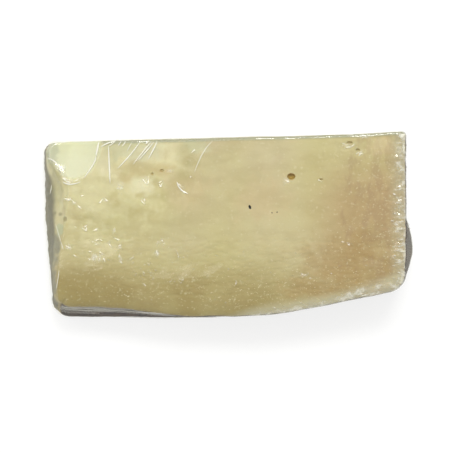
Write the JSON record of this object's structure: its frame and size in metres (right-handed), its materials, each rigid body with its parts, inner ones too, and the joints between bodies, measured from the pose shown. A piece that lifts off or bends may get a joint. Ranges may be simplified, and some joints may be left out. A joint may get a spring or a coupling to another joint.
{
  "type": "pecorino romano chunk",
  "caption": "Wedge-shaped block of hard sheep's cheese in clear stretch film, with a broken end, rind on the far end and lower edge, crags and a round eye.",
  "frame": {"origin": "middle of the footprint, on the surface that the chunk rests on", "axes": "+X towards the rind end, +Y towards the level cut at the top of the picture, +Z out of the large front face that the picture shows"},
  "size_m": [0.1603, 0.0807, 0.0418],
  "materials": {
    "paste": "pale straw pressed cheese paste, waxy, browner near the rind",
    "film": "clear glossy stretch film with fine creases"
  },
  "bodies": {
    "root": {"wrapped_chunk": "paste"}
  },
  "joints": []
}
